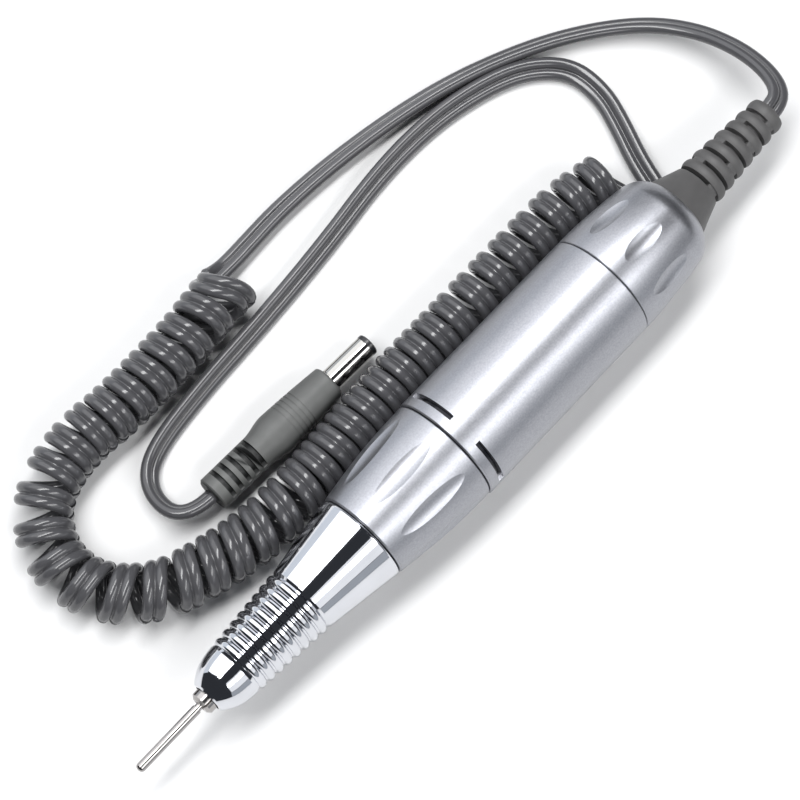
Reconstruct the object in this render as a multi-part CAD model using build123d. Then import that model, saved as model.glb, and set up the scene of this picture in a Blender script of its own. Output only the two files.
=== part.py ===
"""Electric nail drill handpiece with its curly cord and DC plug.

Millimetres. +X runs along the handpiece from the bit to the cord end, +Z is up and the handpiece
lies on z = 0 on its barrel. The origin is under the middle of the handpiece. Handpiece pieces are
drawn about the X axis and lifted to the axis height when they are written.
"""
from build123d import *
import math
import os

# ---------------------------------------------------------------- driving dimensions
LENGTH = 208.7                 # bit tip to the end of the strain relief
BARREL_R = 14.0                # the largest radius, which the handpiece lies on
AXIS_Z = BARREL_R
SHANK_R = 1.175                # 2.35 mm shank, the standard bit size
SHANK_LENGTH = 44.0

TIP_X = -LENGTH / 2
RELIEF_END_X = LENGTH / 2
NOSE_X = TIP_X + 21.7          # front face of the nose
COLLAR_X = NOSE_X + 49.6       # seam between nose and twist collar
BARREL_X = COLLAR_X + 27.1     # seam between twist collar and barrel
CAP_X = BARREL_X + 52.7        # seam between barrel and rear cap
RELIEF_X = CAP_X + 25.4        # where the strain relief comes out of the cap
SEAM_GAP = 0.2

RUN = 0.05                     # radial running clearance
HOUSING_BORE_R = 5.0           # seat of the spindle bearings
SPINDLE_R = 3.0
SPINDLE_BORE_R = 2.35
CHAMBER_R = 6.5                # housing bore round the spring and the release ring
COUPLING_BAY_R = 8.0
COLLAR_SEAT_R = 9.6            # housing under the twist collar
BARREL_BORE_R = 12.6

TWIST_DEG = 60.0               # turn of the collar from locked to open
RELEASE_TRAVEL = 1.5           # travel of the release ring over that turn
COLLET_TRAVEL = 1.2            # travel of the collet over that turn

CORD_R = 2.75                  # half the width of the flat twin cord
COIL_R = 7.1                   # outer radius of the curly part
PLUG_R = 2.75                  # 5.5 mm plug barrel
PLUG_BORE_R = 1.05             # 2.1 mm centre hole

PARTS_DIR = "parts"


# ---------------------------------------------------------------- helpers
def turned(points):
    """Solid of revolution about X from a closed outline of (x, radius) points."""
    return revolve(make_face(Polyline(points, close=True)), Axis.X)


def turned_edges(edges):
    """Solid of revolution about X from edges that close an outline."""
    return revolve(make_face(edges), Axis.X)


def tube(x0, x1, outer, inner):
    """Ring or tube between two stations; a solid rod if inner is 0."""
    return turned([(x0, inner), (x1, inner), (x1, outer), (x0, outer)])


def rod(x0, x1, radius):
    return tube(x0, x1, radius, 0)


def ring_segment(x0, x1, outer, inner, centre_deg, span_deg):
    """Part of a ring, centred centre_deg round from +Z towards -Y."""
    section = make_face(Polyline([(x0, inner), (x1, inner), (x1, outer), (x0, outer)], close=True))
    return Rot(X=90 + centre_deg - span_deg / 2) * revolve(section, Axis.X, span_deg)


def radial_pin(x, r0, r1, radius, angle_deg=0):
    """Cylinder that points out from the axis, angle_deg round from +Z towards -Y."""
    return Rot(X=angle_deg) * Pos(x, 0, (r0 + r1) / 2) * Cylinder(radius, r1 - r0)


def block(x0, x1, y0, y1, z0, z1):
    return Pos((x0 + x1) / 2, (y0 + y1) / 2, (z0 + z1) / 2) * Box(x1 - x0, y1 - y0, z1 - z0)


def around(shape, count, start_deg=0):
    """Copies of a shape spread evenly round the axis."""
    return [Rot(X=start_deg + 360 * i / count) * shape for i in range(count)]


def hollow_scoop(mid_x, length, surface_r, slope, depth, width):
    """Cutter for a shallow lens-shaped hollow with pointed ends, along the handpiece's top.

    It is a barrel-shaped solid of revolution whose own axis runs outside the surface, tilted to
    follow the surface's slope. depth and width are those of the hollow at its middle. length is
    that of the hollow in a straight surface; where the surface bulges, the hollow is shorter.
    """
    half = length / 2
    below_chord = depth - (width / 2) ** 2 / (2 * surface_r)
    belly = ((width / 2) ** 2 + below_chord ** 2) / (2 * below_chord)
    over = 1.25 * half
    end_r = belly - depth * (over / half) ** 2
    outline = make_face([ThreePointArc((-over, end_r), (0, belly), (over, end_r)),
                         Polyline([(over, end_r), (over, 0), (-over, 0), (-over, end_r)])])
    cutter = revolve(outline, Axis.X)
    tilt = math.degrees(math.atan(slope))
    return Pos(mid_x, 0, surface_r - depth + belly) * Rot(Y=-tilt) * cutter


def lifted(shape):
    return Pos(0, 0, AXIS_Z) * shape


def group(shapes):
    """Several separate solids written as one node."""
    return Compound([solid for shape in shapes for solid in shape.solids()])


def write(name, shape):
    export_step(shape, os.path.join(PARTS_DIR, name + ".step"))


# ---------------------------------------------------------------- outer shells
NOSE_LIP = 1.2
RIB_COUNT = 8
RIB_PITCH = 2.54
RIB_WIDTH = 2.2
RIB_HEIGHT = 0.62
RIB_START_X = NOSE_X + 9.3
RIB_END_X = RIB_START_X + RIB_COUNT * RIB_PITCH
RIB_FIRST_R = 6.75             # radius between the ribs, front and back
RIB_LAST_R = 8.25
CONE_FRONT_R = 8.75
CONE_REAR_R = 11.5

COLLAR_FRONT_R = 11.6
COLLAR_REAR_R = 13.75
FLUTE_COUNT = 8
FLUTE_ANGLE = -5.2
FLUTE_MIDDLE = 13.2            # behind the collar's front edge
FLUTE_LENGTH = 27.0
FLUTE_DEPTH = 0.6
FLUTE_WIDTH = 4.4

SLOT_COUNT = 4
SLOT_ANGLE = 56.0
SLOT_SPAN = 58.0
SLOT_OFFSET = 2.6
SLOT_WIDTH = 1.35

DIMPLE_COUNT = 8
DIMPLE_ANGLE = 9.5
DIMPLE_MIDDLE = 11.1           # behind the cap's front edge
DIMPLE_LENGTH = 13.6
DIMPLE_DEPTH = 0.6
DIMPLE_WIDTH = 4.3


def nose_ribs():
    """Edges of the ribs, from the front of the first to the back of the last."""
    edges = []
    flat = (RIB_PITCH - RIB_WIDTH) / 2
    for i in range(RIB_COUNT):
        x = RIB_START_X + i * RIB_PITCH
        base = RIB_FIRST_R + (RIB_LAST_R - RIB_FIRST_R) * (i + 0.5) / RIB_COUNT
        last = RIB_FIRST_R + (RIB_LAST_R - RIB_FIRST_R) * (i - 0.5) / RIB_COUNT
        if i > 0:
            edges.append(Line((x - flat, last), (x + flat, base)))
        edges.append(ThreePointArc((x + flat, base), (x + RIB_PITCH / 2, base + RIB_HEIGHT),
                                   (x + RIB_PITCH - flat, base)))
    return edges


def nose_cone():
    """Chrome nose: rounded front, ribs for the fingers, then a plain cone."""
    ribs = nose_ribs()
    rib_front = ribs[0].position_at(0)
    rib_back = ribs[-1].position_at(1)
    rear_x = COLLAR_X - SEAM_GAP / 2
    mouth = 3.4
    outer = [Line((NOSE_X, mouth + 0.6), (NOSE_X + 0.4, 4.4)),
             Spline((NOSE_X + 0.4, 4.4), (NOSE_X + 1.6, 5.25), (NOSE_X + 3.6, 6.25),
                    (NOSE_X + 6.0, 6.88), (NOSE_X + 8.6, 7.15)),
             Line((NOSE_X + 8.6, 7.15), (rib_front.X, rib_front.Y)),
             *ribs,
             Line((rib_back.X, rib_back.Y), (RIB_END_X + 0.6, CONE_FRONT_R)),
             Line((RIB_END_X + 0.6, CONE_FRONT_R), (rear_x - 0.8, CONE_REAR_R)),
             ThreePointArc((rear_x - 0.8, CONE_REAR_R), (rear_x - 0.23, CONE_REAR_R - 0.18),
                           (rear_x, CONE_REAR_R - 0.8))]
    inner = Polyline([(rear_x, CONE_REAR_R - 0.8), (rear_x, 8.0), (NOSE_X + 32.7, 8.0),
                      (NOSE_X + 32.7, 6.0), (NOSE_X + 6.5, 6.0), (NOSE_X + 6.5, 5.4),
                      (NOSE_X + 4.8, 5.4), (NOSE_X + 4.8, 4.7), (NOSE_X + 3.2, 4.2),
                      (NOSE_X + NOSE_LIP, 4.2), (NOSE_X + NOSE_LIP, mouth), (NOSE_X, mouth),
                      (NOSE_X, mouth + 0.6)])
    return turned_edges([*outer, inner])


def twist_collar():
    """Satin collar that opens the collet. Grooves inside carry the release pins."""
    x0 = COLLAR_X + SEAM_GAP / 2
    x1 = BARREL_X - SEAM_GAP / 2
    bore = COLLAR_SEAT_R + RUN + 0.03
    outer = [Line((x0, COLLAR_FRONT_R - 0.35), (x0 + 0.35, COLLAR_FRONT_R)),
             Spline((x0 + 0.35, COLLAR_FRONT_R), (x0 + 6.3, 12.42), (x0 + 13.0, 13.2),
                    (x0 + 17.6, 13.52), (x1 - 0.3, COLLAR_REAR_R)),
             Line((x1 - 0.3, COLLAR_REAR_R), (x1, COLLAR_REAR_R - 0.3))]
    inner = Polyline([(x1, COLLAR_REAR_R - 0.3), (x1, bore), (x0, bore), (x0, COLLAR_FRONT_R - 0.35)])
    collar = turned_edges([*outer, inner])
    flute = hollow_scoop(x0 + FLUTE_MIDDLE, FLUTE_LENGTH, 13.2, 0.08, FLUTE_DEPTH, FLUTE_WIDTH)
    for cutter in around(flute, FLUTE_COUNT, FLUTE_ANGLE):
        collar -= cutter
    for side in (0, 180):
        collar -= radial_groove(side, bore)
    return collar


def radial_groove(angle_deg, bore):
    """Groove along the inside of the collar, open at its front, for one release pin."""
    half = PIN_R + 0.1
    groove = block(COLLAR_X, RING_X + 3.6, -half, half, bore - 1.0, PIN_TOP_R + 0.15)
    return Rot(X=angle_deg) * groove


def barrel():
    """Satin shell round the motor, with slots near its front edge."""
    x0 = BARREL_X + SEAM_GAP / 2
    x1 = CAP_X - SEAM_GAP / 2
    rear_r = BARREL_R - 0.1
    shell = turned([(x0, BARREL_BORE_R), (x0, BARREL_R - 0.3), (x0 + 0.3, BARREL_R),
                    (x1 - 0.2, rear_r), (x1, rear_r - 0.2), (x1, BARREL_BORE_R)])
    slot_x = x0 + SLOT_OFFSET
    for i in range(SLOT_COUNT):
        centre = SLOT_ANGLE + 360 / SLOT_COUNT * i
        shell -= ring_segment(slot_x, slot_x + SLOT_WIDTH, BARREL_R + 1, BARREL_BORE_R - 1,
                              centre, SLOT_SPAN)
    return shell


CAP_FRONT_R = 13.88
CAP_EDGE_R = 12.35             # where the taper turns into the rounded end
CAP_MOUTH_R = 9.0
CAP_NECK_R = 8.2               # hole for the strain relief
SPIGOT_R = BARREL_BORE_R
SPIGOT_BORE_R = 11.9
SPIGOT_X = CAP_X - 4.7
CAP_WALL = 1.6


def rear_cap():
    """Satin end cap: threaded spigot, tapered body with hollows, rounded end."""
    x0 = CAP_X + SEAM_GAP / 2
    edge_x = CAP_X + 19.7
    end_x = RELIEF_X - 0.6
    body = [Line((x0, CAP_FRONT_R - 0.2), (x0 + 0.2, CAP_FRONT_R)),
            Spline((x0 + 0.2, CAP_FRONT_R), (CAP_X + 7.4, 13.7), (CAP_X + 13.0, 13.22), (edge_x, CAP_EDGE_R)),
            ThreePointArc((edge_x, CAP_EDGE_R), (edge_x + 3.4, 10.95), (end_x, CAP_MOUTH_R)),
            Line((end_x, CAP_MOUTH_R), (end_x, CAP_NECK_R))]
    inner = Polyline([(end_x, CAP_NECK_R), (end_x - CAP_WALL, CAP_NECK_R), (end_x - CAP_WALL, 9.0),
                      (edge_x - 1.0, CAP_EDGE_R - CAP_WALL - 0.3), (SPIGOT_X, CAP_EDGE_R - CAP_WALL - 0.3),
                      (SPIGOT_X, SPIGOT_R), (x0, SPIGOT_R), (x0, CAP_FRONT_R - 0.2)])
    cap = turned_edges([*body, inner])
    dimple = hollow_scoop(x0 + DIMPLE_MIDDLE, DIMPLE_LENGTH, 13.42, -0.07, DIMPLE_DEPTH, DIMPLE_WIDTH)
    for cutter in around(dimple, DIMPLE_COUNT, DIMPLE_ANGLE):
        cap -= cutter
    return cap


# ---------------------------------------------------------------- strain relief
RELIEF_BORE_R = 2.0
BUMP_COUNT = 7
BUMP_PITCH = 3.5
GROOVE_WIDTH = 1.1
GROOVE_FLOOR_R = 2.9
VALLEY_DEPTH = 0.6             # between two bumps, where a web joins them
GROOVE_SPAN = 140.0
FIRST_GROOVE_X = RELIEF_X + 7.3
WEB_ANGLE = 48.0


def bump_radius(i):
    """Crest radius of one bump; they shrink towards the cord."""
    return 6.05 - 0.24 * i


def strain_relief():
    """Rubber sleeve: flange held in the cap, cone, then bumps with slots that let it bend."""
    flange_x = RELIEF_X - 0.6 - CAP_WALL
    edges = [Polyline([(flange_x, RELIEF_BORE_R), (flange_x - 1.8, RELIEF_BORE_R), (flange_x - 1.8, 8.9),
                       (flange_x, 8.9), (flange_x, CAP_NECK_R), (RELIEF_X - 0.6, CAP_NECK_R),
                       (RELIEF_X - 0.6, 8.75)]),
             Spline((RELIEF_X - 0.6, 8.75), (RELIEF_X + 2.6, 7.5), (FIRST_GROOVE_X, 5.85)),
             Line((FIRST_GROOVE_X, 5.85), (FIRST_GROOVE_X, 5.4)),
             Line((FIRST_GROOVE_X, 5.4), (FIRST_GROOVE_X + GROOVE_WIDTH, 5.4))]
    last = (FIRST_GROOVE_X + GROOVE_WIDTH, 5.4)
    for i in range(BUMP_COUNT):
        x = FIRST_GROOVE_X + GROOVE_WIDTH + i * BUMP_PITCH
        end = x + BUMP_PITCH - GROOVE_WIDTH if i < BUMP_COUNT - 1 else RELIEF_END_X
        shoulder = bump_radius(i) - 0.35
        edges.append(Line(last, (x, shoulder)))
        edges.append(ThreePointArc((x, shoulder), ((x + end) / 2, bump_radius(i)), (end, shoulder)))
        last = (end, shoulder)
        if i < BUMP_COUNT - 1:
            floor = bump_radius(i) - VALLEY_DEPTH
            edges.append(Polyline([last, (end, floor), (end + GROOVE_WIDTH, floor)]))
            last = (end + GROOVE_WIDTH, floor)
    edges.append(Polyline([last, (RELIEF_END_X, RELIEF_BORE_R), (flange_x, RELIEF_BORE_R)]))
    sleeve = turned_edges(edges)
    for i in range(BUMP_COUNT):
        x = FIRST_GROOVE_X + i * BUMP_PITCH
        web = WEB_ANGLE if i % 2 == 0 else WEB_ANGLE - 90
        for side in (90, 270):
            sleeve -= ring_segment(x, x + GROOVE_WIDTH, 9.5, GROOVE_FLOOR_R, web + side, GROOVE_SPAN)
    return sleeve


# ---------------------------------------------------------------- housing and release ring
HOUSING_X = NOSE_X + 6.5
BEARING_WIDTH = 3.0
FRONT_BEARING_X = HOUSING_X + 1.2
REAR_BEARING_X = FRONT_BEARING_X + 26.0
CHAMBER_X = REAR_BEARING_X + BEARING_WIDTH + 1.8
COUPLING_BAY_X = CHAMBER_X + 20.5
FLANGE_X = BARREL_X + 0.3
PLATE_X = BARREL_X + 7.0
HOUSING_END_X = PLATE_X + 3.0
MOTOR_SCREW_R = 6.0            # radius of the screw circle

PIN_R = 0.85
PIN_TOP_R = 10.6
RING_X = CHAMBER_X + 15.35     # front face of the release ring when locked
RING_WIDTH = 3.2
PIN_X = RING_X + RING_WIDTH / 2
CAM_STEPS = 15
CAM_R = 1.02


def cam_slots():
    """Helical slots through the housing, as rows of overlapping holes."""
    holes = []
    for i in range(CAM_STEPS):
        share = i / (CAM_STEPS - 1)
        for side in (0, 180):
            holes.append(radial_pin(PIN_X - RELEASE_TRAVEL * share, CHAMBER_R - 1, COLLAR_SEAT_R + 1,
                                    CAM_R, side + TWIST_DEG * share))
    return holes


def spindle_housing():
    """Steel inner sleeve: bearing seats in front, cam slots, then the motor plate."""
    lip = 3.6
    body = turned([(HOUSING_X, lip + 0.5), (HOUSING_X, 6.0), (NOSE_X + 32.7, 6.0), (NOSE_X + 32.7, 8.0),
                   (COLLAR_X + SEAM_GAP / 2 + 0.2, 8.0), (COLLAR_X + SEAM_GAP / 2 + 0.2, COLLAR_SEAT_R),
                   (FLANGE_X - 0.15, COLLAR_SEAT_R), (FLANGE_X - 0.15, BARREL_BORE_R),
                   (HOUSING_END_X, BARREL_BORE_R), (HOUSING_END_X, 3.2), (PLATE_X, 3.2),
                   (PLATE_X, COUPLING_BAY_R), (COUPLING_BAY_X, COUPLING_BAY_R), (COUPLING_BAY_X, CHAMBER_R),
                   (CHAMBER_X, CHAMBER_R), (CHAMBER_X, HOUSING_BORE_R), (FRONT_BEARING_X, HOUSING_BORE_R),
                   (FRONT_BEARING_X, lip + 0.5)])
    body -= tube(O_RING_X - 0.7, O_RING_X + 0.7, COLLAR_SEAT_R + 1, COLLAR_SEAT_R - 1.05)
    for cutter in cam_slots():
        body -= cutter
    for side in (90, 270):
        body -= motor_screw_hole(side, 1.05)
    return body


def motor_screw_hole(angle_deg, radius):
    return Rot(X=angle_deg) * Pos(0, 0, MOTOR_SCREW_R) * rod(PLATE_X - 1, HOUSING_END_X + 1.5, radius)


def release_ring():
    """Ring that pushes the collet forward when the collar turns."""
    ring = tube(RING_X, RING_X + RING_WIDTH, CHAMBER_R - RUN, SPINDLE_R + 0.35)
    for side in (0, 180):
        ring -= radial_pin(PIN_X, 4.4, CHAMBER_R + 1, PIN_R, side)
    return ring


def release_pins():
    """Pins pressed into the release ring, through the cam slots, into the collar's grooves."""
    return group([radial_pin(PIN_X, 4.4, PIN_TOP_R, PIN_R, side) for side in (0, 180)])


O_RING_X = BARREL_X - 3.5


def collar_o_ring():
    """Rubber ring that gives the collar its drag."""
    section = Pos(O_RING_X, COLLAR_SEAT_R - 0.52) * Circle(0.52)
    return revolve(section, Axis.X)


def dust_seal():
    return tube(NOSE_X + 4.85, NOSE_X + 6.45, 5.4, SPINDLE_R + 0.08)


def bearing_spacer():
    return tube(FRONT_BEARING_X + BEARING_WIDTH, REAR_BEARING_X, HOUSING_BORE_R - 0.02, 4.3)


def bearing_retaining_ring():
    return tube(REAR_BEARING_X + BEARING_WIDTH, CHAMBER_X, HOUSING_BORE_R - 0.02, 4.55)


# ---------------------------------------------------------------- ball bearings
BALL_R = 0.5
BALL_COUNT = 10
BALL_CIRCLE_R = 4.0
BALL_CLEARANCE = 0.02


def bearing_outer_race(x):
    race = tube(x, x + BEARING_WIDTH, HOUSING_BORE_R, BALL_CIRCLE_R + 0.38)
    return race - ball_track(x)


def bearing_inner_race(x):
    race = tube(x, x + BEARING_WIDTH, BALL_CIRCLE_R - 0.38, SPINDLE_R)
    return race - ball_track(x)


def ball_track(x):
    section = Pos(x + BEARING_WIDTH / 2, BALL_CIRCLE_R) * Circle(BALL_R + BALL_CLEARANCE)
    return revolve(section, Axis.X)


def bearing_balls(x):
    ball = Pos(x + BEARING_WIDTH / 2, 0, BALL_CIRCLE_R) * Sphere(BALL_R)
    return group(around(ball, BALL_COUNT))


def bearing_cage(x):
    """Thin ring beside the balls, with a finger between each pair."""
    ring_x = x + BEARING_WIDTH / 2 + BALL_R + 0.12
    cage = tube(ring_x, ring_x + 0.35, BALL_CIRCLE_R + 0.2, BALL_CIRCLE_R - 0.2)
    finger = block(x + BEARING_WIDTH / 2 - 0.45, ring_x + 0.05, -0.28, 0.28,
                   BALL_CIRCLE_R - 0.19, BALL_CIRCLE_R + 0.19)
    for piece in around(finger, BALL_COUNT, 180 / BALL_COUNT):
        cage += piece
    return cage


# ---------------------------------------------------------------- spindle and collet
SPINDLE_FRONT_X = NOSE_X + 1.9
TAPER_LENGTH = 2.43            # 15 degree cone between collet head and collet body
COLLET_FRONT_X = NOSE_X - 2.4
COLLET_HEAD_R = 2.95
COLLET_BODY_R = 2.25
COLLET_REAR_X = NOSE_X + 24.7
SPINDLE_TAIL_X = BARREL_X - 10.0
NUT_X = CHAMBER_X + 0.3
NUT_WIDTH = 1.6
THRUST_X = RING_X - 0.35 - 2.5  # front face of the thrust ring
THRUST_WIDTH = 2.5
CROSS_PIN_R = 0.75
CROSS_PIN_X = THRUST_X + THRUST_WIDTH / 2
DRAWBAR_END_X = CROSS_PIN_X + 3.0
SPRING_WIRE_R = 0.45
SPRING_R = 4.2


def spindle_shaft():
    """Hollow spindle with the collet's seat in front and slots for the cross pin."""
    seat_x = SPINDLE_FRONT_X + TAPER_LENGTH
    front_bore = COLLET_HEAD_R + RUN
    flange_end = NOSE_X + 3.9
    shaft = turned([(SPINDLE_FRONT_X, front_bore), (SPINDLE_FRONT_X, 3.8), (NOSE_X + 2.9, 3.8),
                    (flange_end, SPINDLE_R), (SPINDLE_TAIL_X, SPINDLE_R), (SPINDLE_TAIL_X, 0),
                    (SPINDLE_TAIL_X - 2.5, 0), (SPINDLE_TAIL_X - 2.5, SPINDLE_BORE_R),
                    (seat_x, SPINDLE_BORE_R)])
    slot_end = CROSS_PIN_X + CROSS_PIN_R + 0.1
    slot_start = CROSS_PIN_X - CROSS_PIN_R - COLLET_TRAVEL - 0.1
    half = CROSS_PIN_R + 0.06
    return shaft - block(slot_start, slot_end, -4, 4, -half, half)


def spindle_nut():
    """Nut that holds the bearings on the spindle and seats the chuck spring."""
    return tube(NUT_X - 1.9, NUT_X + NUT_WIDTH, 4.4, SPINDLE_R)


def chuck_spring():
    """Coil spring that pulls the collet back into its taper."""
    x0 = NUT_X + NUT_WIDTH + SPRING_WIRE_R + 0.02
    x1 = THRUST_X - SPRING_WIRE_R - 0.02
    path = Helix((x1 - x0) / 5.0, x1 - x0, SPRING_R)
    wire = sweep(Plane(origin=path @ 0, z_dir=path % 0) * Circle(SPRING_WIRE_R), path)
    return Pos(x0, 0, 0) * Rot(Y=90) * wire


def collet():
    """Three-jaw collet with a taper behind its head and a bore for the shank."""
    head_end = SPINDLE_FRONT_X
    bore = SHANK_R + 0.025
    body = turned([(COLLET_FRONT_X, bore + 0.3), (COLLET_FRONT_X, 2.1), (COLLET_FRONT_X + 0.75, COLLET_HEAD_R),
                   (head_end - RUN, COLLET_HEAD_R), (head_end - RUN + TAPER_LENGTH, COLLET_BODY_R),
                   (COLLET_REAR_X, COLLET_BODY_R), (COLLET_REAR_X, 1.5), (COLLET_REAR_X + 4.0, 1.5),
                   (COLLET_REAR_X + 4.0, 0), (COLLET_REAR_X - 1.4, 0), (COLLET_REAR_X - 1.4, bore),
                   (COLLET_FRONT_X + 0.3, bore)])
    slit = block(COLLET_FRONT_X - 1, COLLET_FRONT_X + 17.0, -0.25, 0.25, 0, 4)
    for cutter in around(slit, 3, 30):
        body -= cutter
    return body


def drawbar():
    """Rod screwed to the collet's tail and crossed by the pin."""
    bar = turned([(COLLET_REAR_X + 0.1, 1.5), (COLLET_REAR_X + 0.1, COLLET_BODY_R),
                  (DRAWBAR_END_X, COLLET_BODY_R), (DRAWBAR_END_X, 0), (COLLET_REAR_X + 4.1, 0),
                  (COLLET_REAR_X + 4.1, 1.5)])
    return bar - Pos(CROSS_PIN_X, 0, 0) * Rot(X=90) * Cylinder(CROSS_PIN_R, 10)


def cross_pin():
    return Pos(CROSS_PIN_X, 0, 0) * Rot(X=90) * Cylinder(CROSS_PIN_R, 2 * 4.6)


def thrust_ring():
    """Ring round the spindle, on the cross pin, that the release ring pushes."""
    ring = tube(THRUST_X, THRUST_X + THRUST_WIDTH, 4.9, SPINDLE_R + RUN)
    return ring - Pos(CROSS_PIN_X, 0, 0) * Rot(X=90) * Cylinder(CROSS_PIN_R, 2 * 4.6)


DEPTH_MARK_X = COLLET_FRONT_X - 0.9
DEPTH_MARK_WIDTH = 0.8
DEPTH_MARK = 0.25


def shank_pin():
    """Plain steel bit shank with a rounded free end and a depth mark at the collet's mouth."""
    end_x = TIP_X + SHANK_LENGTH
    edges = [ThreePointArc((TIP_X, 0), (TIP_X + 0.3, 0.88), (TIP_X + 1.0, SHANK_R)),
             Polyline([(TIP_X + 1.0, SHANK_R), (end_x - 0.3, SHANK_R), (end_x, SHANK_R - 0.3),
                       (end_x, 0), (TIP_X, 0)])]
    mark = tube(DEPTH_MARK_X, DEPTH_MARK_X + DEPTH_MARK_WIDTH, SHANK_R + 1, SHANK_R - DEPTH_MARK)
    return turned_edges(edges) - mark


# ---------------------------------------------------------------- drive coupling and motor
DOG_R = 4.5
TONGUE = 2.0
MOTOR_SHAFT_R = 1.5
MOTOR_X = HOUSING_END_X        # front face of the motor can
MOTOR_R = 12.0
MOTOR_WALL = 0.8
CAN_LENGTH = 33.5
MOTOR_END_X = MOTOR_X + CAN_LENGTH
BELL_END_X = MOTOR_END_X + 3.6
CORE_X = MOTOR_X + 7.0
CORE_LENGTH = 16.0
CORE_R = 8.6
MAGNET_R = 9.2
COMMUTATOR_X = MOTOR_X + 26.5
COMMUTATOR_R = 3.3
POLE_COUNT = 5


def spindle_drive_dog():
    """Hub pressed on the spindle's tail, slotted for the motor's tongue."""
    x0 = SPINDLE_TAIL_X - 3.0
    x1 = SPINDLE_TAIL_X + 4.5
    hub = rod(x0, x1, DOG_R) - rod(x0 - 1, SPINDLE_TAIL_X, SPINDLE_R)
    return hub - block(x1 - 2.6, x1 + 1, -DOG_R - 1, DOG_R + 1, -TONGUE / 2, TONGUE / 2)


def motor_drive_dog():
    """Hub pressed on the motor shaft, with a tongue that sits in the spindle's slot."""
    x0 = SPINDLE_TAIL_X + 4.7
    hub = tube(x0, x0 + 6.0, DOG_R, MOTOR_SHAFT_R)
    tongue = block(x0 - 2.4, x0, -DOG_R + 0.3, DOG_R - 0.3, -TONGUE / 2 + 0.04, TONGUE / 2 - 0.04)
    return hub + (tongue - rod(x0 - 3, x0 + 1, MOTOR_SHAFT_R))


def motor_shaft():
    return rod(SPINDLE_TAIL_X + 4.8, BELL_END_X - 0.3, MOTOR_SHAFT_R)


def motor_can():
    can = tube(MOTOR_X, MOTOR_END_X, MOTOR_R, MOTOR_R - MOTOR_WALL)
    face = tube(MOTOR_X, MOTOR_X + 1.2, MOTOR_R - MOTOR_WALL, 2.6)
    can += face
    for side in (90, 270):
        can -= motor_screw_hole(side, 0.85)
    return can


def motor_sleeve():
    """Thin insulating sleeve between the motor can and the barrel."""
    return tube(MOTOR_X + 0.2, MOTOR_END_X - 0.5, BARREL_BORE_R - 0.02, MOTOR_R)


def front_motor_bush():
    return tube(MOTOR_X - 1.2, MOTOR_X + 3.2, 2.6, MOTOR_SHAFT_R + 0.02)


def rear_motor_bush():
    return tube(BELL_END_X - 3.0, BELL_END_X, 2.6, MOTOR_SHAFT_R + 0.02)


def motor_magnets():
    return group([ring_segment(MOTOR_X + 5.0, MOTOR_X + 25.0, MOTOR_R - MOTOR_WALL, MAGNET_R, centre, 140)
                  for centre in (0, 180)])


def armature_core():
    """Stack of laminations with a winding slot between each pair of poles."""
    core = tube(CORE_X, CORE_X + CORE_LENGTH, CORE_R, MOTOR_SHAFT_R)
    slot = block(CORE_X - 1, CORE_X + CORE_LENGTH + 1, -1.7, 1.7, 3.6, 6.9)
    mouth = block(CORE_X - 1, CORE_X + CORE_LENGTH + 1, -0.6, 0.6, 6.5, CORE_R + 1)
    for i in range(POLE_COUNT):
        core -= Rot(X=360 / POLE_COUNT * i) * slot
        core -= Rot(X=360 / POLE_COUNT * i) * mouth
    return core


def armature_windings():
    """Copper coils: an end turn at each end of the core, joined through the slots."""
    reach = 1.9
    ends = [tube(CORE_X - reach, CORE_X - 0.05, 6.8, 2.4),
            tube(CORE_X + CORE_LENGTH + 0.05, CORE_X + CORE_LENGTH + reach, 6.8, 2.4)]
    bar = block(CORE_X - 0.5, CORE_X + CORE_LENGTH + 0.5, -1.6, 1.6, 3.7, 6.7)
    windings = ends[0] + ends[1]
    for piece in around(bar, POLE_COUNT):
        windings += piece
    return windings


def commutator():
    ring = tube(COMMUTATOR_X, COMMUTATOR_X + 5.2, COMMUTATOR_R, MOTOR_SHAFT_R)
    slit = block(COMMUTATOR_X + 0.6, COMMUTATOR_X + 6, -0.15, 0.15, COMMUTATOR_R - 0.6, COMMUTATOR_R + 1)
    for cutter in around(slit, POLE_COUNT):
        ring -= cutter
    return ring


BRUSH_X = COMMUTATOR_X + 2.7
BRUSH_TOP_R = 6.6
HOLDER_TOP_R = 10.6


def motor_end_bell():
    """Plastic end of the motor: holds the rear bush and the brush holders."""
    bell = tube(MOTOR_END_X - 3.0, BELL_END_X, MOTOR_R - MOTOR_WALL, 2.6)
    inner = rod(MOTOR_END_X - 3.1, MOTOR_END_X - 1.0, 4.4)
    lip = tube(MOTOR_END_X, MOTOR_END_X + 0.8, MOTOR_R - 0.2, MOTOR_R - MOTOR_WALL - 0.3)
    bell = bell + lip - inner
    for side in (90, 270):
        bell += Rot(X=side) * block(BRUSH_X - 2.6, MOTOR_END_X - 2.9, -3.0, 3.0, 3.9, HOLDER_TOP_R)
    for side in (90, 270):
        bell -= Rot(X=side) * block(BRUSH_X - 2.0, BRUSH_X + 2.0, -1.8, 1.8, 3.0, HOLDER_TOP_R + 2)
        bell -= terminal(side, 0.02)
    return bell


def brush_holders():
    """Brass tubes of square section that guide the carbon brushes."""
    holder = block(BRUSH_X - 2.0, BRUSH_X + 2.0, -1.8, 1.8, 4.0, HOLDER_TOP_R)
    holder -= block(BRUSH_X - 1.6, BRUSH_X + 1.6, -1.4, 1.4, 3.0, HOLDER_TOP_R - 0.4)
    return group([Rot(X=side) * holder for side in (90, 270)])


def carbon_brushes():
    brush = block(BRUSH_X - 1.55, BRUSH_X + 1.55, -1.35, 1.35, COMMUTATOR_R - 0.4, BRUSH_TOP_R)
    brush -= rod(BRUSH_X - 3, BRUSH_X + 3, COMMUTATOR_R + 0.03)
    return group([Rot(X=side) * brush for side in (90, 270)])


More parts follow.
